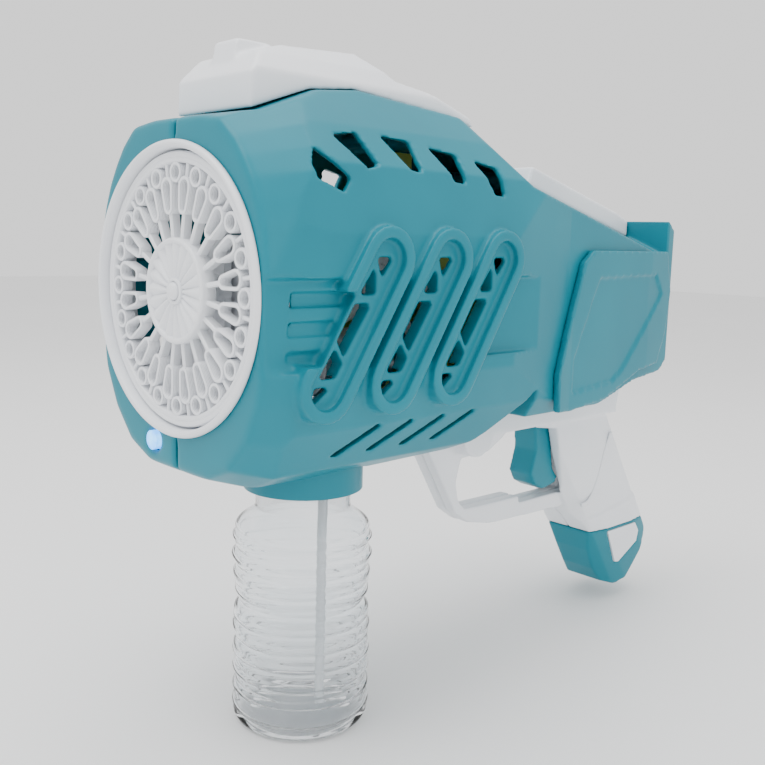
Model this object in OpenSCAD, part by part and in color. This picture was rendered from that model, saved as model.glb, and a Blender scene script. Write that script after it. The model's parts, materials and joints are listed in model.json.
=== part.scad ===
// Hand-held bubble machine: a pistol-shaped toy with a round wand wheel and a screw-on bottle.
// The origin is the centre of the bottle's base. +Z is up, the nose points to -Y.
// "Head frame" below means the frame whose origin is the centre of the wand wheel's face.

/* [Layout] */
// Height of the wand wheel's axis above the bottle's base
axis_h = 147; // [140:1:160]
// Distance from the wand wheel's face back to the bottle's axis
setback = 48; // [46:1:52]

/* [Body] */
// Half the width of the body at the loops
body_half_w = 46; // [44:1:52]
// Half the width of the body at its rear end
rear_half_w = 33; // [31:1:38]
// Wall thickness of the teal shells
wall = 2.2; // [1.8:0.1:3]
// How far the loops and the rear plates stand out
relief = 3; // [2:0.5:4]

/* [Wand wheel] */
// Radius of the wand wheel
wheel_r = 40; // [38:0.5:41]
// Number of rim rings, and of loop paddles
wheel_count = 20; // [12:1:24]
// Thickness of the wheel's rings and bands
wheel_t = 4; // [3:0.5:5]
// Radius of the wheel's shaft
shaft_r = 2; // [1.5:0.25:2.5]

/* [Bottle] */
// Radius of the bottle
bottle_r = 23.7; // [22:0.1:26]
// Height of the bottle's ribbed body, up to its shoulder
bottle_body_h = 68; // [56:1:70]
// Wall thickness of the bottle
bottle_wall = 1; // [0.8:0.1:1.4]
// Radius of the bottle's neck
neck_r = 16; // [15:0.25:17]

/* [Grip] */
// Half the thickness of the grip
grip_half_w = 13; // [12.5:0.5:16]
// Half the thickness of the trigger guard
guard_half_w = 5; // [4.5:0.5:6]
// Backward lean of the grip from the vertical
grip_lean = 33; // [32:0.5:34]
// Half the width of the trigger
trigger_half_w = 6; // [5:0.5:7]

/* [Hidden] */
$fn = 64;

teal = [0.0, 0.62, 0.70];
white = [0.93, 0.94, 0.96];
steel = [0.7, 0.72, 0.75];
brass = [0.78, 0.62, 0.3];
natural = [0.85, 0.86, 0.8];
clear = [0.85, 0.92, 0.95];

seam = 0.15;      // half the gap between two mating halves
fit_gap = 0.3;    // clearance between fixed neighbours
run_gap = 0.06;   // radial clearance of a shaft in its bore

// ---------- helpers ----------

// Moves a child from the head frame to the part's frame.
module head() {
    translate([0, -setback, axis_h]) children();
}

// Extrudes a (Y, Z) outline along X, from x0 to x1.
module side_plate(outline, x0, x1) {
    translate([x0, 0, 0])
        rotate([90, 0, 90])
            linear_extrude(height = x1 - x0) polygon(outline);
}

// A cylinder along +Y from y0 to y1, round the line (x, z).
module y_rod(r, y0, y1, x = 0, z = 0) {
    translate([x, y0, z]) rotate([-90, 0, 0]) cylinder(r = r, h = y1 - y0);
}

// A cylinder along +X from x0 to x1, round the line (y, z).
module x_rod(r, x0, x1, y = 0, z = 0) {
    translate([x0, y, z]) rotate([0, 90, 0]) cylinder(r = r, h = x1 - x0);
}

// A ring along +Y from y0 to y1.
module y_ring(r_out, r_in, y0, y1, x = 0, z = 0) {
    difference() {
        y_rod(r_out, y0, y1, x, z);
        y_rod(r_in, y0 - 1, y1 + 1, x, z);
    }
}

// A box from one corner to the opposite one.
module span(low, high) {
    translate(low) cube(high - low);
}

// Moves every edge of a counter-clockwise outline inwards by d.
function unit(v) = v / norm(v);
function left_of(a, b) = let (u = unit(b - a)) [-u[1], u[0]];
function cross2(a, b) = a[0] * b[1] - a[1] * b[0];
function inset_corner(a, b, c, d) =
    let (p = b + d * left_of(a, b), u = b - a, q = b + d * left_of(b, c), v = c - b)
    p + u * (cross2(q - p, v) / cross2(u, v));
function inset(pts, d) =
    let (n = len(pts))
    [for (i = [0 : n - 1]) inset_corner(pts[(i + n - 1) % n], pts[i], pts[(i + 1) % n], d)];

// An outline of half widths mirrored to both sides of x = 0, counter-clockwise.
function both_sides(half) =
    let (n = len(half))
    concat(half, [for (i = [n - 1 : -1 : 0]) if (half[i][0] > 0) [-half[i][0], half[i][1]]]);

// Extrudes an (X, Z) outline along Y, from y0 to y1.
module front_plate(outline, y0, y1) {
    translate([0, y1, 0])
        rotate([90, 0, 0])
            linear_extrude(height = y1 - y0) polygon(outline);
}

// Extrudes an (X, Y) outline along Z, from z0 to z1.
module plan_plate(outline, z0, z1) {
    translate([0, 0, z0]) linear_extrude(height = z1 - z0) polygon(outline);
}

// The outline of a straight bar with round ends, from p up to q in (Y, Z).
function stadium(p, q, r) =
    let (turn = atan2(q[1] - p[1], q[0] - p[0]), steps = 10)
    concat(
        [for (i = [0 : steps]) let (a = turn - 90 + i * 180 / steps) q + r * [cos(a), sin(a)]],
        [for (i = [0 : steps]) let (a = turn + 90 + i * 180 / steps) p + r * [cos(a), sin(a)]]
    );

// Repeats a child on the far side of the middle plane.
module both() {
    children();
    mirror([1, 0, 0]) children();
}

// ---------- body (head frame) ----------

front_y = -1.5;   // the teal front face
nose_y = 25;      // where the body reaches its full section
tail_y = 244;     // the rear end
band_top = 5.5;   // upper and lower edge of the recessed band on each side
band_low = -19.5;

// Side view of the body, counter-clockwise.
body_side = [
    [front_y, -53], [8, -57.5], [50, -59], [94, -56], [104, -49], [119, -33.5], [121, -45.5],
    [166, -45.5], [196, -38.5], [222, -37], [237, -27], [243, -13], [241, 8], [234, 20],
    [222, 27.5], [222, 20], [146, 39], [136, 45], [122, 51], [96, 57], [50, 61], [33, 59],
    [12, 51], [front_y, 49]
];

// Full section of the body, and the outline of its front face, as half widths.
section_half = [
    [0, -60], [17, -58.5], [30, -52.5], [body_half_w - 5, -38], [body_half_w, -24],
    [body_half_w, 18], [body_half_w - 4, 37], [body_half_w - 13, 48.5], [20, 61.5], [0, 62]
];
front_half = [
    [0, -54], [16, -53], [27, -48.5], [36, -39], [42, -27], [44.5, -12], [44.8, 5],
    [43, 18.6], [40.8, 25], [37.8, 31.4], [34, 37], [29.5, 42.4], [23, 47.5], [0, 50]
];
section = both_sides(section_half);
front_face = both_sides(front_half);

// Top view of the body.
plan = both_sides([
    [body_half_w - 1, front_y], [body_half_w, 18], [body_half_w, 100],
    [rear_half_w + 6, 138], [rear_half_w, 200], [rear_half_w - 4, 228], [rear_half_w - 14, tail_y]
]);

// Planes that the shoulders fall away along behind the vents, one for the hump and one for the
// tail: height on the axis at y = 0, fall per mm outwards, fall per mm backwards.
hump_plane = [119, 0.717, 0.482];
tail_plane = [82.4, 0.432, 0.261];
hook_y = 222;     // where the hook at the body's rear end begins

// Everything above such a plane, with the plane lowered by d along its normal.
module above_plane(p, d) {
    steepness = norm([p[1], p[2], 1]);
    translate([0, 0, p[0] - d * steepness])
        rotate(acos(1 / steepness), [-p[2], p[1], 0])
            span([-200, -300, 0], [200, 400, 200]);
}

// The body's solid form, shrunk by d. It flares from its front face to its full section.
module body_form(d) {
    flare = 80;
    sliver = 0.1;
    difference() {
        intersection() {
            side_plate(inset(body_side, d), 0, 80);
            plan_plate(inset(plan, d), -80, 80);
            front_plate(inset(section, d), -10, 260);
            hull() {
                front_plate(inset(front_face, d), front_y - sliver, front_y);
                front_plate(inset(front_face, d - flare), tail_y, tail_y + sliver);
            }
        }
        intersection() {
            above_plane(hump_plane, d);
            above_plane(tail_plane, d);
            span([-90, 60, 0], [90, hook_y + d, 90]);
        }
    }
}

// The recessed band along the side, grown by d.
module band(d) {
    span([body_half_w - relief - d, front_y - 1, band_low - d], [80, 131, band_top + d]);
}

// The middle line of the first loop, and the spacing of the three loops.
loop_top = [39.5, 11];
loop_low = [17, -24.5];
loop_pitch = 25.5;
loop_count = 3;
loop_r = 9.5;
loop_window_r = 6;
loop_slope = (loop_top[0] - loop_low[0]) / (loop_top[1] - loop_low[1]);
function loop_at(across, z) = [loop_low[0] + (z - loop_low[1]) * loop_slope + across, z];

// The seven openings of a loop, from the top.
slot_w = 3.2;
loop_openings = [
    [[-slot_w, 11.5], [slot_w, 11.5], [2.5, 5.4]],
    [[-2.2, 9], [slot_w, 1], [-slot_w, 1]],
    [[-slot_w, -1.5], [slot_w, -1.5], [2.6, -16.5], [-slot_w, -11.5]],
    [[-2.6, -13.5], [slot_w, -18], [slot_w, -22], [-slot_w, -22]],
    [[-slot_w, -24.2], [slot_w, -24.2], [-0.5, -29.3]]
];

module loops() {
    rim_x = body_half_w + relief;
    for (i = [0 : loop_count - 1]) translate([0, i * loop_pitch, 0]) difference() {
        side_plate(stadium(loop_low, loop_top, loop_r), body_half_w - relief - wall + 0.2, rim_x);
        side_plate(stadium(loop_low, loop_top, loop_window_r), body_half_w, rim_x + 1);
    }
}

module loop_cuts() {
    for (i = [0 : loop_count - 1]) translate([0, i * loop_pitch, 0])
        for (opening = loop_openings)
            side_plate([for (p = opening) loop_at(p[0], p[1])], body_half_w - 14, body_half_w + 9);
}

// The five vents below the shoulder, and the four slanted vents below the loops.
shoulder_vents = [
    [[18, 41], [16, 36], [16.5, 32.5], [26, 29], [29, 33]],
    [[27.5, 45], [35.5, 36], [40.5, 37], [37.5, 46.5]],
    [[46.5, 46.5], [53, 36.7], [58, 36.3], [58.5, 45.5]],
    [[65.5, 44.5], [71.5, 34.5], [77, 34], [77.5, 43]],
    [[84, 42], [90.5, 31.4], [95.5, 31], [95, 40]]
];
low_vent_w = 3.6;

module side_vents() {
    for (outline = shoulder_vents) side_plate(outline, body_half_w - 19, body_half_w + 9);
    for (i = [0 : 3]) translate([0, 30 + i * 14.2, -48])
        side_plate([[0, 0], [low_vent_w, 0], [13 + low_vent_w, 10], [13, 10]], 24, 60);
}

// The front grille: a shallow window with two bars across it.
module grille_cut() {
    difference() {
        side_plate([[8, 2], [6.5, -17.5], [17, -18.5], [29, 2]],
            body_half_w - relief - 1.4, body_half_w + 9);
        for (z = [-6, -14]) span([0, 0, z], [body_half_w - relief - 0.2, 40, z + 3.6]);
    }
}

ring_hole_r = 42;   // opening of the front face for the bezel ring
socket_r = 20;      // outer radius of the bottle socket
socket_flange_r = 22;
boss_r = 3.8;
shell_screw_at = [[40, 50.5], [86, 50], [128, 39], [22, -51.5], [86, -48], [152, 28], [229, 2]];
screw_r = 1.5;
light_at = [-12, -46.2];   // place of the light on the front face, in (X, Z)
light_r = 3;

// Columns for the screws that join the two shells.
module shell_screw_bosses() {
    intersection() {
        body_form(wall / 2);
        for (p = shell_screw_at) x_rod(boss_r, seam, 80, p[0], p[1]);
    }
}

// The left half of the body, before its screw holes.
module half_shell() {
    difference() {
        union() {
            difference() {
                union() {
                    difference() {
                        body_form(0);
                        band(0);
                    }
                    loops();
                }
                difference() {
                    body_form(wall);
                    band(wall);
                }
                grille_cut();
            }
            shell_screw_bosses();
        }
        loop_cuts();
        side_vents();
        y_rod(ring_hole_r, front_y - 1, 9);
        translate([0, setback, -70]) cylinder(r = socket_r + fit_gap, h = 20);
        frame_pocket();
        span([-1, -10, -90], [seam, 300, 90]);
    }
}

module left_shell() {
    color(teal) head() difference() {
        half_shell();
        for (p = shell_screw_at) x_rod(screw_r + 0.1, -1, 10, p[0], p[1]);
    }
}

module right_shell() {
    head_depth = 12;
    color(teal) head() mirror([1, 0, 0]) difference() {
        half_shell();
        for (p = shell_screw_at) {
            x_rod(screw_r + 0.1, -1, 80, p[0], p[1]);
            x_rod(3.2, head_depth, 80, p[0], p[1]);
        }
        y_rod(light_r + fit_gap, front_y - 1, front_y + wall + 3, -light_at[0], light_at[1]);
    }
}

// The raised plates that cover the rear of both shells.
panel_outline = [
    [131, -44], [140, -44.5], [166, -43], [181, -38.5], [195, -34], [212, -32.5], [219, -20],
    [222, -2], [216, 14.5], [152, 14.5], [145.5, 10], [130, -30]
];
inner_panel = [
    [141, -38], [172, -36.5], [180, -32.5], [213, -3], [206, 5], [159, 4.5], [156.5, 3], [141, -25]
];

module side_panel() {
    proud = 1;
    difference() {
        intersection() {
            side_plate(panel_outline, 0, 80);
            plan_plate(inset(plan, -relief), -80, 80);
        }
        plan_plate(inset(plan, -0.02), -80, 80);
        intersection() {
            side_plate(inner_panel, 0, 80);
            difference() {
                plan_plate(inset(plan, -relief - 1), -80, 80);
                plan_plate(inset(plan, -relief + proud), -80, 80);
            }
        }
    }
}

module left_side_panel() {
    color(teal) head() side_panel();
}

module right_side_panel() {
    color(teal) head() mirror([1, 0, 0]) side_panel();
}

// ---------- white top parts (head frame) ----------

cover_half_w = 19;
cover_side = [
    [11.5, 51.6], [33, 59.4], [50, 61.4], [96, 57.4], [106, 55.2], [104, 58.5], [84, 64.5],
    [70, 66.5], [60, 74.5], [28, 72], [17, 68.5], [12, 62]
];
cover_hollow = [
    [14, 45], [96, 45], [99, 57.5], [84, 62], [69, 64.3], [59, 72.4], [28, 70], [18, 66.5], [14, 61.5]
];
cover_section = both_sides([
    [cover_half_w, 40], [cover_half_w, 63], [cover_half_w - 4, 69], [9, 73.5], [6, 76]
]);

module top_cover() {
    color(white) head() {
        difference() {
            intersection() {
                side_plate(cover_side, -cover_half_w, cover_half_w);
                front_plate(cover_section, 0, 120);
            }
            intersection() {
                side_plate(cover_hollow, -cover_half_w + 2, cover_half_w - 2);
                front_plate(inset(cover_section, 2), 0, 120);
            }
        }
        // Sight block and its bead
        side_plate([[15, 66], [28, 71.5], [28, 73], [16.5, 73]], -6, 6);
        translate([0, 21, 73]) cylinder(r = 2, h = 0.8);
    }
}

module rear_strip() {
    half_w = 10;
    color(white) head()
        side_plate([[149, 38.55], [221.5, 20.5], [221.5, 27.5], [213, 30.5], [152, 46]], -half_w, half_w);
}

// ---------- wand wheel and its drive (head frame) ----------

tooth_m = 0.8;          // module of all gears
wheel_teeth = 40;
idler_small_teeth = 12;
idler_big_teeth = 48;
pinion_teeth = 10;
idler_z = -tooth_m * (wheel_teeth + idler_small_teeth) / 2;
motor_x = tooth_m * (idler_big_teeth + pinion_teeth) / 2;
idler_shaft_r = 1.5;
motor_shaft_r = 1;
motor_r = 10;
plate_front = 13;       // the gear case's front plate
plate_rear = 29;
plate_t = 2.5;
wheel_gear_y = 17.5;
big_gear_y = 24;
big_gear_t = 3;
pump_front = plate_rear + plate_t + fit_gap;
pump_rear = 54;
pump_r = motor_x - motor_r - 0.6;
pump_wall = 1.4;
tube_r = 1;
tube_path_r = pump_r - pump_wall - tube_r - 0.1;
roller_r = 2.4;
roller_path_r = tube_path_r - tube_r - roller_r - 0.4;
rim_hole_path_r = wheel_r - 6;

module bezel_ring() {
    lip_r = wheel_r + 3.1;
    bore_r = wheel_r + 0.6;
    color(white) head() {
        difference() {
            union() {
                y_rod(ring_hole_r - fit_gap, front_y, 7);
                y_rod(lip_r, front_y - 2.1, front_y);
            }
            y_rod(bore_r, front_y - 4, 9);
        }
    }
}

module wand_wheel() {
    y0 = -1;
    y1 = y0 + wheel_t;
    hub_r = 15.5;
    band_in = wheel_r - 3.4;
    loop_in = 25;
    loop_out = 30.2;
    loop_r = 2.8;
    stem_half_w = 0.7;
    pitch = 360 / wheel_count;
    color(white) head() difference() {
        union() {
            y_ring(wheel_r, band_in, y0, y1);
            difference() {
                y_rod(hub_r, y0 - 1, y1);
                y_rod(hub_r - 1.8, y0 - 2, y0);
            }
            y_rod(3, y0 - 2, y1 - 1.5);
            y_rod(4.5, y1 - 1, 9.5);
            for (k = [0 : wheel_count - 1]) rotate([0, k * pitch, 0]) {
                y_rod(2.9, y0 + 0.2, y1 - 0.2, rim_hole_path_r, 0);
                rotate([0, pitch / 2, 0]) {
                    front_plate(stadium([loop_in, 0], [loop_out, 0], loop_r), y0, y1);
                    span([hub_r - 1, y0 + 0.6, -stem_half_w], [loop_in, y1 - 0.6, stem_half_w]);
                    span([loop_out, y0 + 0.6, -stem_half_w], [band_in + 1, y1 - 0.6, stem_half_w]);
                }
            }
        }
        for (k = [0 : wheel_count - 1]) rotate([0, k * pitch, 0]) {
            y_rod(2.15, y0 - 1, y1 + 1, rim_hole_path_r, 0);
            rotate([0, pitch / 2, 0])
                front_plate(stadium([loop_in, 0], [loop_out, 0], loop_r - 0.9), y0 - 1, y1 + 1);
        }
        y_rod(shaft_r + 0.03, 1, 12);
    }
}

// One gear tooth as four points, centred on the angle a.
function polar(r, a, side) = [r * cos(a) - side * sin(a), r * sin(a) + side * cos(a)];
function gear_outline(teeth) =
    let (
        pitch_r = tooth_m * teeth / 2,
        half = 0.9 * PI * tooth_m / 4,
        tip = 0.85 * tooth_m,
        root = 1.15 * tooth_m,
        flare = tan(20)
    )
    [for (k = [0 : teeth - 1], p = [
        [-root, -half - root * flare],
        [tip, -half + tip * flare],
        [tip, half - tip * flare],
        [-root, half + root * flare]
    ]) polar(pitch_r + p[0], k * 360 / teeth, min(max(p[1], -half * 1.35), half * 1.35))];

// A gear on the Y axis from y0 to y1; turn is the angle of its first tooth from +X towards +Z.
module y_gear(teeth, y0, y1, turn, bore_r) {
    translate([0, y1, 0])
        rotate([90, 0, 0])
            difference() {
                rotate([0, 0, turn]) linear_extrude(height = y1 - y0) polygon(gear_outline(teeth));
                translate([0, 0, -1]) cylinder(r = bore_r, h = y1 - y0 + 2);
            }
}

module wheel_shaft() {
    color(steel) head() y_rod(shaft_r, 1.5, wheel_gear_y + 4.5);
}

module wheel_gear() {
    // A tooth points down, at the idler.
    color(natural) head() y_gear(wheel_teeth, wheel_gear_y, wheel_gear_y + 4, -90, shaft_r + 0.03);
}

module idler_shaft() {
    color(steel) head() y_rod(idler_shaft_r, plate_front + 0.5, pump_rear - 1, 0, idler_z);
}

module idler_gear() {
    half_pitch = 180 / idler_small_teeth;
    color(natural) head() translate([0, 0, idler_z]) {
        // A gap of the small gear points up, at the wheel gear's tooth.
        y_gear(idler_small_teeth, wheel_gear_y - 0.5, big_gear_y, 90 + half_pitch, idler_shaft_r + 0.03);
        y_gear(idler_big_teeth, big_gear_y, big_gear_y + big_gear_t, 0, idler_shaft_r + 0.03);
    }
}

module motor_pinion() {
    color(brass) head() translate([motor_x, 0, idler_z])
        y_gear(pinion_teeth, big_gear_y - 0.3, big_gear_y + big_gear_t + 0.3,
            180 + 180 / pinion_teeth, motor_shaft_r + 0.03);
}

module drive_motor() {
    color(steel) head() {
        y_rod(motor_r, plate_rear + plate_t, plate_rear + plate_t + 25, motor_x, idler_z);
        y_rod(motor_shaft_r, big_gear_y - 1, plate_rear + plate_t, motor_x, idler_z);
    }
}

module gear_case() {
    arm_r = 4.5;
    post_r = 3;
    top_z = 44.6;
    low_z = -44.4;
    side_x = 25.5;
    color(natural) head() difference() {
        union() {
            for (y = [plate_front, plate_rear]) {
                span([-arm_r, y, low_z], [arm_r, y + plate_t, 24]);
                y_rod(arm_r, y, y + plate_t, 0, low_z);
                y_rod(arm_r, y, y + plate_t, 0, 24);
                span([-side_x, y, idler_z - arm_r], [0, y + plate_t, idler_z + arm_r]);
                y_rod(arm_r, y, y + plate_t, -side_x, idler_z);
            }
            span([-arm_r, plate_front, 20], [arm_r, plate_front + plate_t, top_z]);
            y_rod(arm_r, plate_front, plate_front + plate_t, 0, top_z);
            span([0, plate_rear, idler_z - arm_r], [motor_x, plate_rear + plate_t, idler_z + arm_r]);
            y_rod(motor_r, plate_rear, plate_rear + plate_t, motor_x, idler_z);
            y_rod(5, 10.2, plate_front + plate_t);
            for (p = [[0, 24], [0, low_z], [-side_x, idler_z]])
                y_rod(post_r, plate_front, plate_rear + plate_t, p[0], p[1]);
        }
        y_rod(shaft_r + run_gap, 9, plate_front + plate_t + 1);
        y_rod(idler_shaft_r + run_gap, plate_front - 1, plate_rear + plate_t + 1, 0, idler_z);
        y_rod(motor_shaft_r + 0.5, plate_rear - 1, plate_rear + plate_t + 1, motor_x, idler_z);
    }
}

// ---------- pump (head frame) ----------

tray_tube_z = -41;
dip_joint_z = -40;

module pump_housing() {
    color(natural) head() difference() {
        y_rod(pump_r, pump_front, pump_rear, 0, idler_z);
        y_rod(pump_r - pump_wall, pump_front + 1.5, pump_rear + 1, 0, idler_z);
        y_rod(idler_shaft_r + 0.5, pump_front - 1, pump_front + 2, 0, idler_z);
        for (side = [-1, 1])
            translate([side * tube_path_r, setback, idler_z - 30]) cylinder(r = tube_r + 0.3, h = 30);
    }
}

module pump_rotor() {
    color(white) head() difference() {
        union() {
            y_rod(roller_path_r + 1.4, pump_front + 8, pump_front + 9.6, 0, idler_z);
            y_rod(3, pump_front + 8, pump_rear - 1, 0, idler_z);
        }
        y_rod(idler_shaft_r + 0.03, pump_front, pump_rear + 1, 0, idler_z);
        for (k = [0 : 2]) roller(0.9, pump_front + 7, pump_front + 11, k);
    }
}

module roller(r, y0, y1, k) {
    a = 90 + k * 120;
    y_rod(r, y0, y1, roller_path_r * cos(a), idler_z + roller_path_r * sin(a));
}

module pump_rollers() {
    color(steel) head() for (k = [0 : 2]) {
        roller(roller_r, pump_front + 9.9, pump_rear - 2, k);
        roller(0.85, pump_front + 8.2, pump_front + 10, k);
    }
}

module feed_tube() {
    $fn = 24;
    color(clear) head() {
        translate([0, setback, idler_z]) rotate([90, 0, 0]) rotate_extrude(angle = 180, $fn = 64)
            translate([tube_path_r, 0]) circle(r = tube_r);
        for (side = [-1, 1]) {
            low = side > 0 ? dip_joint_z : tray_tube_z;
            translate([side * tube_path_r, setback, low]) cylinder(r = tube_r, h = idler_z - low + 0.01);
        }
        translate([-tube_path_r, setback, tray_tube_z]) sphere(r = tube_r);
        y_rod(tube_r, 10, setback, -tube_path_r, tray_tube_z);
    }
}

module dip_tube() {
    $fn = 24;
    color(clear) translate([tube_path_r, 0, 8]) difference() {
        cylinder(r = 1.6, h = axis_h + dip_joint_z - 8 - fit_gap);
        translate([0, 0, -1]) cylinder(r = 0.9, h = 12);
    }
}

module drip_tray() {
    half_angle = 52;
    r_in = 31;
    r_out = 45;
    y0 = 4.6;
    y1 = 12;
    t = 1.2;
    color(white) head() difference() {
        rotate([90, 0, 0]) rotate([0, 0, -90 - half_angle]) rotate_extrude(angle = 2 * half_angle)
            polygon([[r_in, -y1], [r_out, -y1], [r_out, -y0], [r_out - t, -y0], [r_out - t, -y1 + t],
                [r_in + t, -y1 + t], [r_in + t, -y0], [r_in, -y0]]);
        y_rod(tube_r + 0.3, y1 - 2 * t, y1 + 1, -tube_path_r, tray_tube_z);
    }
}

// ---------- fan (head frame) ----------

fan_y = 80;
fan_h = 9;
fan_r = 30;
duct_r = 34;
fan_motor_r = 11;

module fan() {
    hub_r = 8;
    blades = 7;
    color(natural) head() difference() {
        union() {
            y_rod(hub_r, fan_y, fan_y + fan_h);
            intersection() {
                for (k = [0 : blades - 1]) rotate([0, k * 360 / blades, 0])
                    translate([hub_r - 1, fan_y + fan_h / 2, 0]) rotate([38, 0, 0])
                        span([0, -0.6, -6], [fan_r, 0.6, 6]);
                y_rod(fan_r, fan_y, fan_y + fan_h);
            }
        }
        y_rod(motor_shaft_r + 0.03, fan_y + 2, fan_y + fan_h + 1);
    }
}

module fan_motor() {
    color(steel) head() {
        y_rod(fan_motor_r, fan_y + fan_h + 2, fan_y + fan_h + 27);
        y_rod(motor_shaft_r, fan_y + 2.5, fan_y + fan_h + 2);
    }
}

module fan_duct() {
    t = 1.6;
    y0 = 76;
    y1 = 98;
    foot = 5;
    color(white) head() {
        y_ring(duct_r, duct_r - t, y0, y1);
        y_ring(fan_motor_r + 1.8, fan_motor_r + 0.05, y1 - 5, y1);
        for (k = [0 : 3]) rotate([0, 45 + k * 90, 0])
            span([fan_motor_r + 1, y1 - 5, -1.5], [duct_r - t / 2, y1, 1.5]);
        span([-foot, 82, duct_r - 1], [foot, 90, 50 - boss_r - fit_gap]);
        span([-foot, 82, -48 + boss_r + fit_gap], [foot, 90, -duct_r + 1]);
    }
}

// ---------- bottle and its socket ----------

socket_low = -66;       // head frame
socket_top = -51.4;
seal_t = 1.5;
socket_plate_t = 2;
neck_wall = 1.4;
thread_depth = 0.8;
neck_top = axis_h + socket_top - socket_plate_t - seal_t - fit_gap;
shoulder_top = bottle_body_h + 6;
socket_bore_r = neck_r + thread_depth + fit_gap;

module bottle_socket() {
    color(teal) head() translate([0, setback, 0]) difference() {
        union() {
            translate([0, 0, socket_low]) cylinder(r = socket_r, h = socket_top - socket_low);
            translate([0, 0, socket_top - socket_plate_t]) cylinder(r = socket_flange_r, h = socket_plate_t);
        }
        translate([0, 0, socket_low - 1]) cylinder(r = socket_bore_r, h = socket_top - socket_low - 1);
        translate([tube_path_r, 0, socket_low]) cylinder(r = 1.6 + fit_gap, h = 30);
    }
}

module socket_seal() {
    color("dimgray") head() translate([0, setback, socket_top - socket_plate_t - seal_t]) difference() {
        cylinder(r = neck_r, h = seal_t - 0.05);
        translate([0, 0, -1]) cylinder(r = neck_r - 3, h = seal_t + 2);
    }
}

// Radius of the ribbed wall at height z: even rings with a pinch above the middle.
function rib(z) = 0.8 * cos(z * 360 / 9.5);
function pinch(z) = z > 38 && z < 50 ? 1.6 * (1 - cos((z - 38) * 30)) / 2 : 0;
function wall_r(z) = bottle_r - 0.8 + rib(z) - pinch(z);

module bottle() {
    foot_r = 3.5;
    step = 1.6;
    rows = [for (z = [foot_r + 1 : step : bottle_body_h - 1]) z];
    outside = concat(
        [[bottle_r - foot_r, 0], [bottle_r - 1.2, 1.2], [bottle_r - 0.6, foot_r - 0.4]],
        [for (z = rows) [wall_r(z), z]],
        [[bottle_r - 1.4, bottle_body_h], [neck_r + 1.5, shoulder_top - 1.5], [neck_r, shoulder_top]],
        [[neck_r, neck_top - 6.5], [neck_r + thread_depth, neck_top - 5.5],
         [neck_r + thread_depth, neck_top - 4.5], [neck_r, neck_top - 3.5], [neck_r, neck_top]]
    );
    inside = concat(
        [[neck_r - neck_wall, neck_top], [neck_r - neck_wall, shoulder_top],
         [bottle_r - 1.6 - bottle_wall, bottle_body_h - bottle_wall]],
        [for (i = [len(rows) - 1 : -1 : 1]) [wall_r(rows[i]) - bottle_wall, rows[i]]],
        [[bottle_r - foot_r - bottle_wall, 1.6], [8, 4.5], [0, 5]]
    );
    push_up = [[0, 4], [7, 3.5], [bottle_r - foot_r - 4, 0]];
    color(clear) rotate_extrude($fn = 96) polygon(concat(push_up, outside, inside));
}

// ---------- grip, guard and trigger (head frame) ----------

frame_top = -36;
grip_low = -111;            // joint between the grip and its cap
grip_joint = [225.5, grip_low];
frame_outline = [
    [100, -48], [104, -62], [112, -75], [120, -88], [128, -93.5], [142, -96.5], [190, -98],
    [196, -103], [204, grip_low], [247, grip_low], [241, -98], [235, -89], [227, -76],
    [218, -61], [215.5, -55], [217, -48], [223, -42], [223, frame_top], [100, frame_top]
];
guard_hole = [
    [122.5, -67], [120, -76], [121.5, -83], [125.5, -87.5], [186, -88.5], [178, -70], [175, -60],
    [151, -59], [146, -62.5], [138, -66.5], [128, -66.5]
];
pin_at = [172, -50];
pin_r = 1.5;
eye_r = 4.5;
trigger_outline = [
    [168, -60], [169, -70], [166, -79.5], [169, -84.5], [175, -87.5], [183, -86], [185, -83.5],
    [181, -79], [178, -60], [179.5, -53], [180.5, -47.2], [167.5, -47.2]
];
slot_half_w = trigger_half_w + 0.5;

// Frame of the battery bay: its origin is at the grip joint and +Z runs up the grip.
module bay() {
    translate([0, grip_joint[0], grip_joint[1]]) rotate([grip_lean, 0, 0]) children();
}
tray_half_w = 8.4;
tray_half_d = 8.4;
tray_low = 8.5;
tray_len = 54;
cell_r = 7.1;
cell_len = 50;
grip_half_d = 21.5;
cap_screw_y = -15.2;

// Cross-section of the grip, grown by d.
function grip_section(d) = both_sides([
    [grip_half_w - 6 + d, -grip_half_d - d], [grip_half_w - 1.5 + d, -grip_half_d + 4.5],
    [grip_half_w + d, -9], [grip_half_w + d, 9], [grip_half_w - 1.5 + d, grip_half_d - 4.5],
    [grip_half_w - 6 + d, grip_half_d + d]
]);

module frame_form() {
    top_half_w = grip_half_w + 1;
    difference() {
        union() {
            // The guard is slimmer than the grip.
            intersection() {
                side_plate(frame_outline, -guard_half_w, guard_half_w);
                span([-50, 90, -110], [50, 190, -56]);
            }
            intersection() {
                side_plate(frame_outline, -top_half_w, top_half_w);
                union() {
                    span([-50, 90, -57], [50, 230, 0]);
                    bay() plan_plate(grip_section(0), -20, 100);
                    intersection() {
                        bay() plan_plate(grip_section(0.8), -20, 100);
                        side_plate([[190, -120], [260, -120], [260, -96], [190, -106]], -50, 50);
                    }
                }
            }
            both() x_rod(8.5, 0, top_half_w, 122, -56);
        }
        side_plate(guard_hole, -50, 50);
    }
}

// Space that the frame takes up inside the teal shells.
module frame_pocket() {
    clear_w = grip_half_w + 1 + fit_gap;
    span([-1, 100 - fit_gap, -80], [clear_w, 223 + fit_gap, frame_top + fit_gap]);
}

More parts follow.
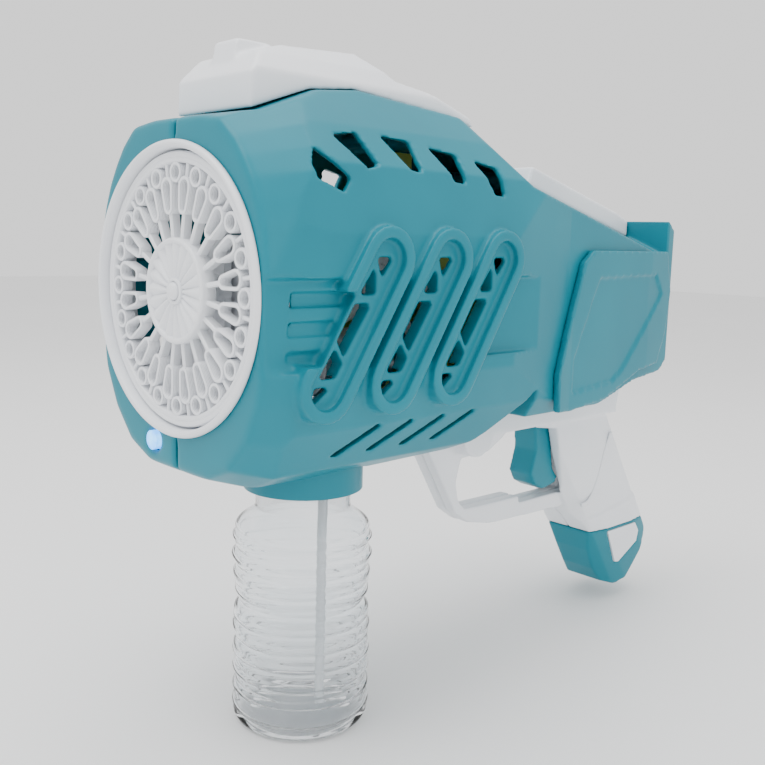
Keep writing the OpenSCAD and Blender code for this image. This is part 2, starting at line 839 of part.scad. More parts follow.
module frame_voids() {
    bay() span([-tray_half_w - fit_gap, -tray_half_d - fit_gap, -20],
        [tray_half_w + fit_gap, tray_half_d + fit_gap, tray_low + tray_len + 1.5]);
    // Slot that the trigger swings in, and the pocket of its switch
    span([-slot_half_w, 160, -57], [slot_half_w, 183, -44.4]);
    span([-slot_half_w, 174.5, -45], [slot_half_w, 183, -37.7]);
    difference() {
        span([-slot_half_w, 160, -91], [slot_half_w, 194, -56]);
        bay() span([-20, -tray_half_d - 1.8, -20], [20, 40, tray_low + tray_len + 3.2]);
    }
    span([pin_spring_x - 0.2, 167, -56], [slot_half_w + 3.4, 178, -44.5]);
    x_rod(pin_r + 0.02, -10, 10, pin_at[0], pin_at[1]);
    frame_screw_holes();
}

pin_spring_x = trigger_half_w + 0.6;
frame_screw_at = [[112, -44], [146, -48], [208, -44]];

module frame_screw_holes() {
    for (p = frame_screw_at) {
        x_rod(screw_r + 0.1, -80, 8, p[0], p[1]);
        x_rod(3.2, -80, -9, p[0], p[1]);
    }
    bay() translate([0, cap_screw_y, 8]) cylinder(r = 1.1, h = 12);
}

module frame_halves() {
    difference() {
        frame_form();
        frame_voids();
        span([-seam, 50, -200], [seam, 300, 50]);
    }
}

module left_frame() {
    color(white) head() intersection() {
        frame_halves();
        span([0, 50, -200], [90, 300, 50]);
    }
}

module right_frame() {
    color(white) head() intersection() {
        frame_halves();
        span([-90, 50, -200], [0, 300, 50]);
    }
}

module trigger() {
    color(teal) head() difference() {
        union() {
            side_plate(trigger_outline, -trigger_half_w, trigger_half_w);
            x_rod(eye_r, -trigger_half_w, trigger_half_w, pin_at[0], pin_at[1]);
        }
        x_rod(pin_r + run_gap, -20, 20, pin_at[0], pin_at[1]);
    }
}

module trigger_pin() {
    color(steel) head() x_rod(pin_r, -9.8, 9.8, pin_at[0], pin_at[1]);
}

module trigger_spring() {
    coil_r = 2.5;
    wire_r = 0.4;
    color(steel) head() {
        for (k = [0 : 2]) translate([pin_spring_x + 0.4 + k * 1.7 * wire_r, pin_at[0], pin_at[1]])
            rotate([0, 90, 0]) rotate_extrude($fn = 32) translate([coil_r, 0]) circle(r = wire_r, $fn = 16);
        translate([pin_spring_x + 0.4 + 1.7 * wire_r, pin_at[0] + coil_r, pin_at[1] - 5.5])
            cylinder(r = wire_r, h = 5.5, $fn = 16);
        translate([pin_spring_x + 0.4 + wire_r, pin_at[0] - 4.5, pin_at[1] + coil_r])
            rotate([-90, 0, 0]) cylinder(r = wire_r, h = 4.5, $fn = 16);
    }
}

module trigger_switch() {
    color("dimgray") head() {
        span([-5, 175.5, -44.3], [5, 182, -38.2]);
        span([-1.5, 178, -45], [1.5, 180.5, -44]);
    }
}

// ---------- battery tray and grip cap ----------

module battery_tray() {
    low = tray_low + 2;
    color("dimgray") head() bay() difference() {
        span([-tray_half_w, -tray_half_d, tray_low], [tray_half_w, tray_half_d, tray_low + tray_len]);
        translate([0, 0, low]) cylinder(r = cell_r + 0.2, h = cell_len + 0.6);
        span([0, -cell_r - 0.2, low], [tray_half_w + 1, cell_r + 0.2, low + cell_len + 0.6]);
    }
}

module battery_cell() {
    low = tray_low + 2.2;
    color("silver") head() bay() {
        translate([0, 0, low]) cylinder(r = cell_r, h = cell_len - 1.2);
        translate([0, 0, low + cell_len - 1.3]) cylinder(r = 3, h = 1);
    }
}

module battery_contacts() {
    color(brass) head() bay() for (side = [-1, 1])
        translate([0, side * 5, tray_low + tray_len]) cylinder(r = 2.5, h = 0.6);
}

cap_outline = [
    [203.5, grip_low - 0.2], [207.5, -121], [213, -131], [219, -138], [226, -140.3],
    [234, -138.5], [245, -128], [250, -119], [249.5, -113], [247.5, grip_low - 0.2]
];
cap_insert_outline = [
    [215.5, grip_low - 1.5], [223, -128.5], [226, -129], [240.5, -122], [241.8, -117],
    [238.5, grip_low - 1.5]
];

module grip_cap() {
    lip = 0.6;
    color(teal) head() difference() {
        union() {
            intersection() {
                side_plate(cap_outline, -grip_half_w - lip, grip_half_w + lip);
                bay() plan_plate(grip_section(lip), -50, 30);
            }
            bay() span([-tray_half_w, -tray_half_d, -8], [tray_half_w, tray_half_d, tray_low - 0.2]);
        }
        both() side_plate(cap_insert_outline, grip_half_w - 0.8, grip_half_w + 2);
        bay() translate([0, cap_screw_y, -40]) cylinder(r = 1.1, h = 80);
        bay() translate([0, cap_screw_y, -40]) cylinder(r = 2.3, h = 40);
    }
}

module cap_inserts() {
    color(white) head() both()
        side_plate(inset(cap_insert_outline, 0.1), grip_half_w - 0.75, grip_half_w + 0.75);
}

module cap_screw() {
    color(steel) head() bay() translate([0, cap_screw_y, 0]) {
        cylinder(r = 1, h = 17);
        translate([0, 0, -1.5]) cylinder(r = 2, h = 1.5);
    }
}

// ---------- electronics and fasteners (head frame) ----------

board_x = 14;

// Just clear of the inside of a rear side wall at y, where the body tapers.
function rear_inside(y) = rear_half_w + 6 * max(0, 200 - y) / 62 - (wall + fit_gap) - 0.2;

module circuit_board() {
    t = 1.6;
    color("seagreen") head() {
        span([board_x, 160, -26], [board_x + t, 205, 14]);
        span([board_x - 4, 166, -18], [board_x + 0.01, 178, -8]);
        for (y = [184, 192]) x_rod(3, board_x - 6, board_x + 0.01, y, 2);
        for (p = [[164, 10], [201, 10], [164, -22], [201, -22]])
            x_rod(2, board_x + t - 0.01, rear_inside(p[0] + 2), p[0], p[1]);
    }
}

module front_light() {
    color(clear) head() {
        y_rod(light_r, front_y - 0.8, front_y + wall + 1, light_at[0], light_at[1]);
        y_rod(light_r + 0.9, front_y + wall + 0.6, front_y + wall + 2.2, light_at[0], light_at[1]);
    }
}

module shell_screws() {
    color(steel) head() for (p = shell_screw_at) {
        x_rod(screw_r, -13, 8, p[0], p[1]);
        x_rod(2.8, -14.5, -12.1, p[0], p[1]);
    }
}

module frame_screws() {
    color(steel) head() for (p = frame_screw_at) {
        x_rod(screw_r, -10, 7, p[0], p[1]);
        x_rod(2.8, -11.5, -9.1, p[0], p[1]);
    }
}

left_shell();
right_shell();
left_side_panel();
right_side_panel();
top_cover();
rear_strip();
bezel_ring();
wand_wheel();
wheel_shaft();
wheel_gear();
idler_shaft();
idler_gear();
motor_pinion();
drive_motor();
gear_case();
pump_housing();
pump_rotor();
pump_rollers();
feed_tube();
dip_tube();
drip_tray();
fan();
fan_motor();
fan_duct();
bottle_socket();
socket_seal();
bottle();
left_frame();
right_frame();
trigger();
trigger_pin();
trigger_spring();
trigger_switch();
battery_tray();
battery_cell();
battery_contacts();
grip_cap();
cap_inserts();
cap_screw();
circuit_board();
front_light();
shell_screws();
frame_screws();
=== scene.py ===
"""Looks of the hand-held bubble machine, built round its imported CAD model."""
import json
import math

import bmesh
import bpy
from mathutils import Matrix, Vector


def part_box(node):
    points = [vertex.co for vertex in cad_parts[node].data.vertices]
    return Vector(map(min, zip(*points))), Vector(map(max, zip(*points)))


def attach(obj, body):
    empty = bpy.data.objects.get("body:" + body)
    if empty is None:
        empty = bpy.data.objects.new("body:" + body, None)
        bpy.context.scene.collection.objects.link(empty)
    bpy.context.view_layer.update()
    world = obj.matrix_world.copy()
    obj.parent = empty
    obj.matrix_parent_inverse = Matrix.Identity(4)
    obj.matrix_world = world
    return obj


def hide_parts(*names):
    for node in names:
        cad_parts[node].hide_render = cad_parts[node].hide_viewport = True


MM = 0.001
SETBACK = 48 * MM      # the wheel's face is this far in front of the bottle's axis
AXIS_H = 147 * MM      # height of the wheel's axis

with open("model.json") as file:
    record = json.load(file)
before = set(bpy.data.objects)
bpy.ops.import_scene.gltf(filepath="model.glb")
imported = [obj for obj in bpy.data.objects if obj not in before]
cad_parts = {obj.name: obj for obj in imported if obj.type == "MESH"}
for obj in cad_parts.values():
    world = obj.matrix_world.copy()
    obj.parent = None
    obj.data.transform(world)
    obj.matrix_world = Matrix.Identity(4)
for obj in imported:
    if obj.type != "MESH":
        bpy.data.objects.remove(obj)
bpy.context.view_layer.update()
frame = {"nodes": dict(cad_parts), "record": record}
slot_of = {s["node"]: s["material_slot"] for s in frame["record"]["subparts"]}
body_of = {n: b for b, ns in frame["record"]["behaviour"]["bodies"].items() for n in ns}


def head(x, y, z):
    """A point in metres, given in mm from the centre of the wheel's face."""
    return Vector((x * MM, y * MM - SETBACK, z * MM + AXIS_H))


# ---------- materials ----------

def new_material(name):
    mat = bpy.data.materials.new(name)
    mat.use_nodes = True
    nodes = mat.node_tree.nodes
    nodes.clear()
    out = nodes.new("ShaderNodeOutputMaterial")
    shader = nodes.new("ShaderNodeBsdfPrincipled")
    mat.node_tree.links.new(shader.outputs["BSDF"], out.inputs["Surface"])
    return mat, shader


def noise(mat, scale, detail=3.0):
    nodes, links = mat.node_tree.nodes, mat.node_tree.links
    place = nodes.new("ShaderNodeTexCoord")
    tex = nodes.new("ShaderNodeTexNoise")
    tex.inputs["Scale"].default_value = scale
    tex.inputs["Detail"].default_value = detail
    links.new(place.outputs["Object"], tex.inputs["Vector"])
    return tex.outputs["Fac"]


def ramp(mat, value, low, high, start=0.3, end=0.7):
    """Two colours blended by a value."""
    node = mat.node_tree.nodes.new("ShaderNodeValToRGB")
    mat.node_tree.links.new(value, node.inputs["Fac"])
    node.color_ramp.elements[0].position = start
    node.color_ramp.elements[1].position = end
    node.color_ramp.elements[0].color = (*low, 1)
    node.color_ramp.elements[1].color = (*high, 1)
    return node.outputs["Color"]


def spread(mat, value, low, high):
    """Maps a 0 to 1 value to the range low to high."""
    node = mat.node_tree.nodes.new("ShaderNodeMapRange")
    mat.node_tree.links.new(value, node.inputs["Value"])
    node.inputs["To Min"].default_value = low
    node.inputs["To Max"].default_value = high
    return node.outputs["Result"]


def bump(mat, shader, value, strength, distance):
    node = mat.node_tree.nodes.new("ShaderNodeBump")
    node.inputs["Strength"].default_value = strength
    node.inputs["Distance"].default_value = distance
    mat.node_tree.links.new(value, node.inputs["Height"])
    mat.node_tree.links.new(node.outputs["Normal"], shader.inputs["Normal"])


def moulded(name, low, high, rough=(0.3, 0.42), coat=0.12, grain=900, shine=0.5):
    """Injection-moulded plastic: a slight cloudiness, uneven polish and a faint orange peel."""
    mat, shader = new_material(name)
    links = mat.node_tree.links
    links.new(ramp(mat, noise(mat, 22), low, high), shader.inputs["Base Color"])
    links.new(spread(mat, noise(mat, 60), *rough), shader.inputs["Roughness"])
    bump(mat, shader, noise(mat, grain, 2.0), 0.12, 0.0001)
    shader.inputs["IOR"].default_value = 1.5
    shader.inputs["Coat Weight"].default_value = coat
    shader.inputs["Coat Roughness"].default_value = 0.2
    shader.inputs["Specular IOR Level"].default_value = shine
    return mat


def metal(name, low, high, rough=(0.25, 0.4)):
    mat, shader = new_material(name)
    links = mat.node_tree.links
    links.new(ramp(mat, noise(mat, 300), low, high), shader.inputs["Base Color"])
    links.new(spread(mat, noise(mat, 500), *rough), shader.inputs["Roughness"])
    bump(mat, shader, noise(mat, 1500), 0.1, 0.00005)
    shader.inputs["Metallic"].default_value = 1.0
    return mat


def clear(name, low, high, rough=(0.02, 0.06)):
    """Blown clear plastic with slightly uneven walls."""
    mat, shader = new_material(name)
    links = mat.node_tree.links
    links.new(ramp(mat, noise(mat, 40), low, high), shader.inputs["Base Color"])
    links.new(spread(mat, noise(mat, 80), *rough), shader.inputs["Roughness"])
    bump(mat, shader, noise(mat, 55, 1.0), 0.25, 0.0006)
    shader.inputs["Transmission Weight"].default_value = 1.0
    shader.inputs["IOR"].default_value = 1.28
    return mat


TEAL = moulded("teal_plastic", (0.0, 0.175, 0.235), (0.0, 0.2, 0.265), coat=0.05, shine=0.25)
WHITE = moulded("white_plastic", (0.80, 0.82, 0.86), (0.86, 0.88, 0.91), coat=0.2)
NATURAL = moulded("natural_plastic", (0.50, 0.60, 0.10), (0.62, 0.70, 0.18), (0.35, 0.5), 0.0)
DARK = moulded("dark_plastic", (0.02, 0.02, 0.022), (0.035, 0.035, 0.04), (0.4, 0.55), 0.0)
WRAP = moulded("cell_wrap", (0.03, 0.09, 0.35), (0.05, 0.12, 0.42), (0.3, 0.4), 0.1)
BOARD = moulded("board", (0.01, 0.09, 0.03), (0.02, 0.13, 0.05), (0.4, 0.5), 0.1)
SILICONE = moulded("silicone", (0.7, 0.74, 0.76), (0.78, 0.81, 0.83), (0.35, 0.45), 0.0)
STEEL = metal("steel", (0.55, 0.56, 0.58), (0.68, 0.69, 0.71))
BRASS = metal("brass", (0.62, 0.43, 0.16), (0.74, 0.54, 0.22))
CLEAR = clear("clear_plastic", (0.93, 0.96, 0.98), (0.98, 0.99, 1.0))


def light_lens():
    """The lit blue lens of the front light."""
    mat, shader = new_material("lens")
    links = mat.node_tree.links
    glow = ramp(mat, noise(mat, 200), (0.02, 0.25, 0.9), (0.2, 0.6, 1.0))
    links.new(glow, shader.inputs["Base Color"])
    links.new(glow, shader.inputs["Emission Color"])
    shader.inputs["Emission Strength"].default_value = 3.0
    shader.inputs["Roughness"].default_value = 0.2
    return mat


SLOTS = {
    "teal_plastic": TEAL, "white_plastic": WHITE, "natural_plastic": NATURAL, "dark_plastic": DARK,
    "cell_wrap": WRAP, "board": BOARD, "silicone": SILICONE, "steel": STEEL, "motor_can": STEEL,
    "brass": BRASS, "clear_plastic": CLEAR, "lens": light_lens(),
}


def paint(obj, mat):
    obj.data.materials.clear()
    obj.data.materials.append(mat)


# Inner pieces that show as white behind the wheel.
WHITE_INSIDE = ("gear_case", "drip_tray", "fan", "wheel_gear", "idler_gear")
for node_name, node_obj in frame["nodes"].items():
    paint(node_obj, WHITE if node_name in WHITE_INSIDE else SLOTS[slot_of[node_name]])


# ---------- mesh tools ----------

def baked(obj):
    """Applies an object's modifiers to its mesh."""
    graph = bpy.context.evaluated_depsgraph_get()
    mesh = bpy.data.meshes.new_from_object(obj.evaluated_get(graph))
    obj.modifiers.clear()
    obj.data = mesh
    for face in mesh.polygons:
        face.use_smooth = True


def finish_as(obj, node):
    """obj has the slot and the finish of a CAD node."""
    paint(obj, SLOTS[slot_of[node]])


def stand_in(obj, node):
    """obj takes the place, the body and the finish of a CAD node."""
    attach(obj, body_of[node])
    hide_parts(node)
    finish_as(obj, node)


def linked(name, data):
    """A new object in the scene."""
    obj = bpy.data.objects.new(name, data)
    bpy.context.scene.collection.objects.link(obj)
    return obj


def softened(node, voxel, rounds=6, soft=None, soft_rounds=0):
    """The CAD node as one skin with moulded, rounded edges. soft(point) in 0..1 rounds some edges more."""
    obj = linked(node + "_moulded", frame["nodes"][node].data.copy())
    remesh = obj.modifiers.new("skin", "REMESH")
    remesh.mode = "VOXEL"
    remesh.voxel_size = voxel * MM
    baked(obj)
    if soft:
        group = obj.vertex_groups.new(name="soft")
        levels = {}
        for v in obj.data.vertices:
            level = round(soft(v.co), 1)
            if level > 0:
                levels.setdefault(level, []).append(v.index)
        for level, indices in levels.items():
            group.add(indices, level, "REPLACE")
        far = obj.modifiers.new("soft", "SMOOTH")
        far.factor = 0.7
        far.iterations = soft_rounds
        far.vertex_group = "soft"
    near = obj.modifiers.new("round", "SMOOTH")
    near.factor = 0.5
    near.iterations = rounds
    baked(obj)
    obj.vertex_groups.clear()
    stand_in(obj, node)


def rise(value, start, end):
    """0 before start, 1 after end, and a straight rise between them."""
    return min(1.0, max(0.0, (value - start) / (end - start)))


# ---------- camera, light and floor ----------

CAMERA_PLACE = (0.241149, -0.195989, 0.163840)
CAMERA_RIGHT = (0.6896, 0.7237, 0.0271)
CAMERA_BACK = (0.7128, -0.6849, 0.1509)     # from the object towards the camera
FOCAL_LENGTH = 44.45
SENSOR_WIDTH = 36
CENTRE = Vector((0, 0.05, 0.11))            # the middle of the object, which the lamps face
WORLD_LIGHT = 1.25


def make_camera():
    data = bpy.data.cameras.new("camera")
    data.sensor_width = SENSOR_WIDTH
    data.lens = FOCAL_LENGTH
    cam = linked("camera", data)
    right = Vector(CAMERA_RIGHT).normalized()
    back = Vector(CAMERA_BACK)
    back = (back - right * back.dot(right)).normalized()
    up = back.cross(right)
    place = Matrix((right, up, back)).transposed().to_4x4()
    place.translation = Vector(CAMERA_PLACE)
    cam.matrix_world = place
    bpy.context.scene.camera = cam
    return right, up, back


def soft_light(name, direction, distance, size, power):
    """A square lamp in that direction from the object, facing it."""
    data = bpy.data.lights.new(name, "AREA")
    data.shape = "SQUARE"
    data.size = size
    data.energy = power
    lamp = linked(name, data)
    lamp.location = CENTRE + direction.normalized() * distance
    lamp.rotation_mode = "QUATERNION"
    lamp.rotation_quaternion = (-direction).to_track_quat("-Z", "Y")


def make_studio(right, up, back):
    """White surroundings, three soft lamps and a pale floor."""
    world = bpy.data.worlds.new("studio")
    bpy.context.scene.world = world
    world.use_nodes = True
    world.node_tree.nodes["Background"].inputs["Color"].default_value = (1, 1, 1, 1)
    world.node_tree.nodes["Background"].inputs["Strength"].default_value = WORLD_LIGHT
    soft_light("key", back * 0.5 + up * 1.0 - right * 0.5, distance=0.9, size=0.6, power=5)
    soft_light("fill", back + up * 0.15 + right * 0.8, distance=1.0, size=0.8, power=1.5)
    soft_light("top", Vector((0.1, 0.1, 1.0)), distance=0.9, size=0.7, power=4)

    mesh = bpy.data.meshes.new("floor")
    build = bmesh.new()
    bmesh.ops.create_grid(build, x_segments=4, y_segments=4, size=3)
    build.to_mesh(mesh)
    build.free()
    floor = linked("floor", mesh)
    floor.location.z = -0.3 * MM
    mat, shader = new_material("floor")
    mat.node_tree.links.new(
        ramp(mat, noise(mat, 2), (0.88, 0.88, 0.88), (0.9, 0.9, 0.9)), shader.inputs["Base Color"])
    shader.inputs["Roughness"].default_value = 0.6
    paint(floor, mat)


make_studio(*make_camera())


# ---------- shells ----------

def shell_softness(p):
    """More rounding at the front crease, along the back of the body and round its underside."""
    side = abs(p.x) / MM
    y = (p.y + SETBACK) / MM
    z = (p.z - AXIS_H) / MM
    front = 1 - rise(y, 4, 12)
    over = rise(z, 47, 51) * rise(side, 20, 24)
    under = 1 - rise(z, -56, -51)
    rim = 1 - rise(math.hypot(side, z), 43, 45)     # the bezel ring's seat stays crisp
    return max(0.0, max(front, over * 0.8, under * 0.8) - (rim if y < 12 else 0))


FINE_VOXEL = 0.6
VOXEL = FINE_VOXEL
for shell in ("left_shell", "right_shell"):
    softened(shell, VOXEL, 2, shell_softness, 30)
for panel in ("left_side_panel", "right_side_panel"):
    softened(panel, VOXEL, 3)
for piece in ("top_cover", "rear_strip"):
    softened(piece, VOXEL, 10)
for half in ("left_frame", "right_frame"):
    softened(half, VOXEL, 6)
softened("grip_cap", VOXEL, 8)
softened("trigger", FINE_VOXEL, 10)


# ---------- round parts, swept in the wheel's plane ----------

def circle(radius, steps, at=(0, 0)):
    """Points (x, z) round a circle."""
    angles = [2 * math.pi * i / steps for i in range(steps)]
    return [(at[0] + radius * math.cos(a), at[1] + radius * math.sin(a)) for a in angles]


def teardrop(inner, inner_r, outer, outer_r, steps=9):
    """Outline of a loop along +X with round ends of two sizes."""
    lean = math.asin((outer_r - inner_r) / (outer - inner))
    ends = []
    for i in range(steps + 1):
        a = -math.pi / 2 - lean + (math.pi + 2 * lean) * i / steps
        ends.append((outer + outer_r * math.cos(a), outer_r * math.sin(a)))
    for i in range(steps + 1):
        a = math.pi / 2 + lean + (math.pi - 2 * lean) * i / steps
        ends.append((inner + inner_r * math.cos(a), inner_r * math.sin(a)))
    return ends


def turned(points, degrees):
    """Points (x, z) turned about the wheel's axis."""
    c, s = math.cos(math.radians(degrees)), math.sin(math.radians(degrees))
    return [(x * c - z * s, x * s + z * c) for x, z in points]


def join_rings(build, low, high):
    """Faces between two closed rows of as many points."""
    count = len(low)
    for i in range(count):
        k = (i + 1) % count
        build.faces.new((low[i], low[k], high[k], high[i]))


def sweep(build, path, section):
    """Sweeps a closed section of (outward, depth) points round a closed counter-clockwise (x, z) path."""
    count = len(path)
    rows = []
    for i, (x, z) in enumerate(path):
        before, after = path[i - 1], path[(i + 1) % count]
        tx, tz = after[0] - before[0], after[1] - before[1]
        size = math.hypot(tx, tz)
        out = (tz / size, -tx / size)
        rows.append([build.verts.new(head(x + out[0] * a, d, z + out[1] * a)) for a, d in section])
    for i in range(count):
        join_rings(build, rows[i], rows[(i + 1) % count])


def smooth_object(build, name):
    """The built mesh as a smooth-shaded object, with its faces turned outwards."""
    bmesh.ops.recalc_face_normals(build, faces=build.faces)
    mesh = bpy.data.meshes.new(name)
    build.to_mesh(mesh)
    build.free()
    for face in mesh.polygons:
        face.use_smooth = True
    return linked(name, mesh)


def finished(build, name, node, sharp=40):
    """The built mesh in place of a CAD node. Edges steeper than sharp degrees stay crisp."""
    obj = smooth_object(build, name)
    obj.data.set_sharp_from_angle(angle=math.radians(sharp))
    stand_in(obj, node)


def ribbed_wall(half_t, front, rear, ribs, depth=0.14):
    """Section of a deep thin wall with fine ribs along both of its faces."""
    step = (rear - front) / (2 * ribs)
    inner = [(-half_t - (depth if i % 2 else 0), front + i * step) for i in range(2 * ribs + 1)]
    outer = [(half_t + (depth if i % 2 else 0), rear - i * step) for i in range(2 * ribs + 1)]
    return inner + outer


def stem(build, start, end, half_w, front, rear, degrees):
    """A spoke from radius start to end, crowned along its front."""
    ring = [(-half_w, rear), (-half_w, front + 0.35), (-half_w * 0.5, front), (half_w * 0.5, front),
            (half_w, front + 0.35), (half_w, rear)]
    rows = []
    for radius in (start, end):
        flat = [turned([(radius, w)], degrees)[0] for w, d in ring]
        rows.append([build.verts.new(head(x, ring[i][1], z)) for i, (x, z) in enumerate(flat)])
    join_rings(build, *rows)
    build.faces.new(rows[0])
    build.faces.new(list(reversed(rows[1])))


def fluted_disc(build, radius, petals, front, depth, rear):
    """The hub's face: rounded petals that narrow towards the centre, and a flat back."""
    around, along = petals * 10, 14
    middle = build.verts.new(head(0, front, 0))
    rings = []
    for j in range(1, along + 1):
        r = radius * j / along
        swell = min(1.0, r / (0.45 * radius))
        row = []
        for i in range(around):
            a = 2 * math.pi * i / around
            crest = abs(math.cos(a * petals / 2))
            y = front + depth * (1 - crest * swell)
            row.append(build.verts.new(head(r * math.cos(a), y, r * math.sin(a))))
        rings.append(row)
    for i in range(around):
        k = (i + 1) % around
        build.faces.new((middle, rings[0][i], rings[0][k]))
        for j in range(along - 1):
            build.faces.new((rings[j][i], rings[j + 1][i], rings[j + 1][k], rings[j][k]))
    back = [build.verts.new(head(x, rear, z)) for x, z in circle(radius, around)]
    for i in range(around):
        k = (i + 1) % around
        build.faces.new((rings[-1][i], back[i], back[k], rings[-1][k]))
    build.faces.new(back)


def dome(build, radius, height, front, rear):
    """A round knob on the wheel's axis."""
    steps, rows = 32, 7
    rings = []
    for j in range(rows):
        a = math.pi / 2 * j / (rows - 1)
        r = radius * math.cos(a)
        d = front - height * math.sin(a)
        if r < 0.01:
            rings.append([build.verts.new(head(0, d, 0))])
        else:
            rings.append([build.verts.new(head(x, d, z)) for x, z in circle(r, steps)])
    foot = [build.verts.new(head(x, rear, z)) for x, z in circle(radius, steps)]
    rings.insert(0, foot)
    for low, high in zip(rings, rings[1:-1]):
        join_rings(build, low, high)
    low, tip = rings[-2], rings[-1][0]
    for i in range(steps):
        build.faces.new((low[i], low[(i + 1) % steps], tip))
    build.faces.new(list(reversed(foot)))


def make_wheel():
    """The wand wheel: a hub, a rim band, and 20 small rings and 20 loops between them."""
    count = 20
    pitch = 360 / count
    hub, band, rim = 15.5, 36.6, 40.0
    rear = 2.9
    build = bmesh.new()
    band_mid, band_half = (band + rim) / 2, (rim - band) / 2
    sweep(build, circle(band_mid, 180), [
        (-band_half, rear), (-band_half, -0.4), (-band_half + 0.4, -0.9), (-0.4, -1.0), (0.0, -0.8),
        (0.4, -1.0), (band_half - 0.4, -0.9), (band_half, -0.4), (band_half, rear)])
    sweep(build, circle(hub - 0.9, 120), [
        (-0.9, rear), (-0.9, -1.3), (-0.55, -1.8), (0, -2.0), (0.55, -1.8), (0.9, -1.3), (0.9, rear)])
    fluted_disc(build, hub - 1.4, petals=count, front=-1.6, depth=1.1, rear=rear)
    dome(build, radius=2.6, height=1.2, front=-1.8, rear=0)
    sweep(build, circle(3.4, 60), [(-0.5, 0), (-0.5, -1.6), (0, -1.85), (0.5, -1.6), (0.5, 0)])
    for k in range(count):
        small = turned(circle(2.5, 28, (34, 0)), k * pitch)
        sweep(build, small, ribbed_wall(0.32, -0.9, 2.7, 7, 0.12))
        middle = k * pitch + pitch / 2
        loop = turned(teardrop(24.4, 1.7, 30.2, 2.5), middle)
        sweep(build, loop, ribbed_wall(0.34, -1.0, rear, 8))
        stem(build, hub - 0.5, 22.6, 0.75, -0.5, 2.3, middle)
        stem(build, 32.7, band + 0.5, 0.6, -0.5, 2.3, middle)
    sweep(build, circle(3.6, 48), [(-1.5, 2), (-1.5, 9.4), (0.8, 9.4), (0.8, 2)])
    finished(build, "wand_wheel_moulded", "wand_wheel")


def make_bezel():
    """The ring round the wheel, with a rounded front lip."""
    build = bmesh.new()
    sweep(build, circle(41, 240), [
        (-0.35, 8.9), (-0.35, -1.6), (-0.2, -2.6), (0.1, -3.2), (0.6, -3.5), (1.1, -3.55), (1.6, -3.3),
        (1.95, -2.8), (2.08, -2.2), (1.95, -1.75), (1.3, -1.5), (0.7, -1.2), (0.65, 6.9), (0.6, 7),
        (0.1, 7), (0.1, 8.9)])
    finished(build, "bezel_ring_moulded", "bezel_ring", 60)


make_wheel()
make_bezel()


# ---------- bottle ----------

def bottle_wall(z):
    """Radius of the bottle's outside at height z, in mm: soft ribs, one deep waist and a foot."""
    low, high = 3.5, 68.0
    if z < low:
        return 20.2 + 3.0 * math.sqrt(max(0.0, 1 - ((low - z) / low) ** 2))
    if z > high:
        t = min(1.0, (z - high) / 7.0)
        return 22.6 - 6.6 * (t * t * (3 - 2 * t))
    rib = 0.55 * math.cos(z * 2 * math.pi / 6.4) + 0.28 * math.cos(z * 2 * math.pi / 3.1 + 1.0)
    waist = 1.5 * math.exp(-((z - 43) / 3.2) ** 2)
    groove = 0.9 * math.exp(-((z - 13.5) / 1.2) ** 2)
    return 22.85 + rib - waist - groove


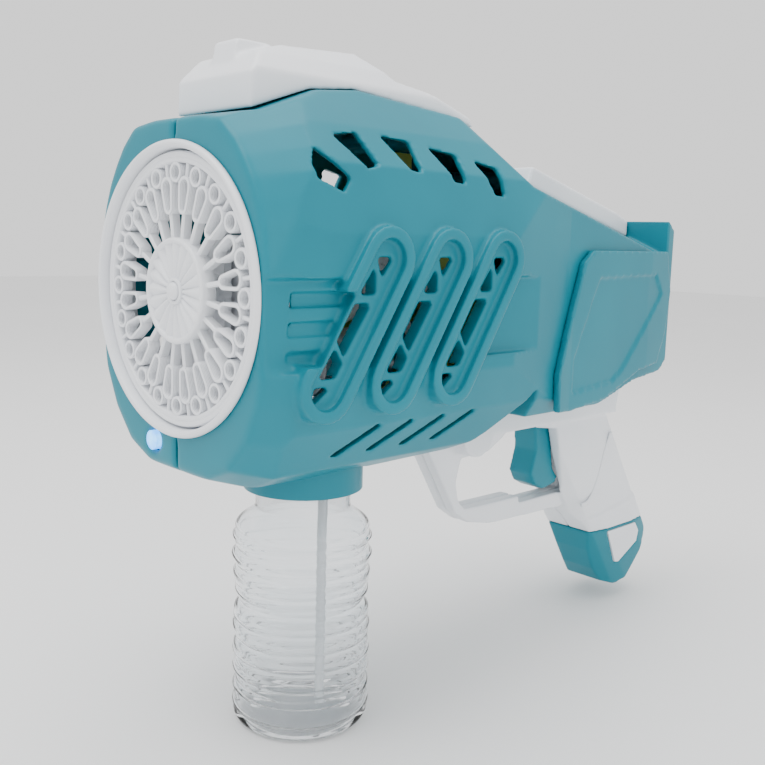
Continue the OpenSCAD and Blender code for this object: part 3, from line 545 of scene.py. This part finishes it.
def make_bottle():
    """The clear bottle, with its wall's inside and outside in one turned profile."""
    steps = 144
    wall = 0.9
    neck_r, bead_r = 16, 16.7
    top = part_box("bottle")[1].z / MM
    rows = [0.02, 0.25, 0.7, 1.3, 2.1, 3.0] + [3.5 + 0.6 * i for i in range(120)]
    outside = [(bottle_wall(z), z) for z in rows if z < 75]
    outside += [
        (neck_r, 75.4), (neck_r, top - 6.5), (bead_r, top - 5.6), (bead_r, top - 4.6),
        (neck_r, top - 3.6), (neck_r, top - 0.3), (15.7, top)]
    inside = [(14.8, top), (14.6, top - 0.3), (14.6, 75)]
    inside += [(bottle_wall(z) - wall, z) for z in reversed(rows) if 4.5 < z < 74.4]
    inside += [(20.8, 4.0), (19.3, 2.4), (17.2, 2.0), (12.5, 3.6), (7, 5.0), (2.5, 5.2)]
    foot = [(2.5, 4.2), (7, 4.0), (12.5, 2.6), (16.2, 0.8), (17.6, 0.1), (19.0, 0.0)]
    build = bmesh.new()
    rings = []
    for r, z in foot + outside + inside:
        row = []
        for i in range(steps):
            a = 2 * math.pi * i / steps
            wander = 0.0    # the blown wall is a little uneven
            if 6 < z < 66:
                wander = 0.28 * math.sin(a * 3 + z * 0.35) * math.cos(z * 0.9 + a)
            row.append(build.verts.new(Vector((
                (r + wander) * math.cos(a) * MM, (r + wander) * math.sin(a) * MM, z * MM))))
        rings.append(row)
    for low, high in zip(rings, rings[1:]):
        join_rings(build, low, high)
    build.faces.new(rings[0])
    build.faces.new(list(reversed(rings[-1])))
    finished(build, "bottle_blown", "bottle", 80)


make_bottle()


# ---------- raised line on the grip ----------

def rib_along(points, x, radius, name, node):
    """A thin raised line through (y, z) points on the flat side at x, one on each side of the grip."""
    build = bmesh.new()
    around = 8
    for side in (-1, 1):
        rows = []
        for i, (y, z) in enumerate(points):
            before, after = points[max(i - 1, 0)], points[min(i + 1, len(points) - 1)]
            ty, tz = after[0] - before[0], after[1] - before[1]
            size = math.hypot(ty, tz)
            row = []
            for k in range(around):
                a = 2 * math.pi * k / around
                across, out = radius * math.cos(a), 0.45 * radius * math.sin(a)
                place = head(side * (x + out), y - tz / size * across, z + ty / size * across)
                row.append(build.verts.new(place))
            rows.append(row)
        for low, high in zip(rows, rows[1:]):
            join_rings(build, low, high)
        build.faces.new(rows[0])
        build.faces.new(list(reversed(rows[-1])))
    obj = smooth_object(build, name)
    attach(obj, body_of[node])
    finish_as(obj, node)


def curved(points, steps=6):
    """A smooth line through the points."""
    line = []
    for i in range(len(points) - 1):
        a, b, c, d = (points[max(i - 1, 0)], points[i], points[i + 1], points[min(i + 2, len(points) - 1)])
        for s in range(steps):
            t = s / steps
            line.append(tuple(
                0.5 * (2 * b[k] + (c[k] - a[k]) * t + (2 * a[k] - 5 * b[k] + 4 * c[k] - d[k]) * t * t
                       + (3 * b[k] - a[k] - 3 * c[k] + d[k]) * t ** 3) for k in (0, 1)))
    return line + [points[-1]]


GRIP_HALF_W = 13.0
GRIP_LINE = [(214, -66), (210, -74), (207, -83), (203, -91), (199, -95.5), (194, -96.5)]
rib_along(curved(GRIP_LINE), GRIP_HALF_W, 0.9, "grip_line", "left_frame")
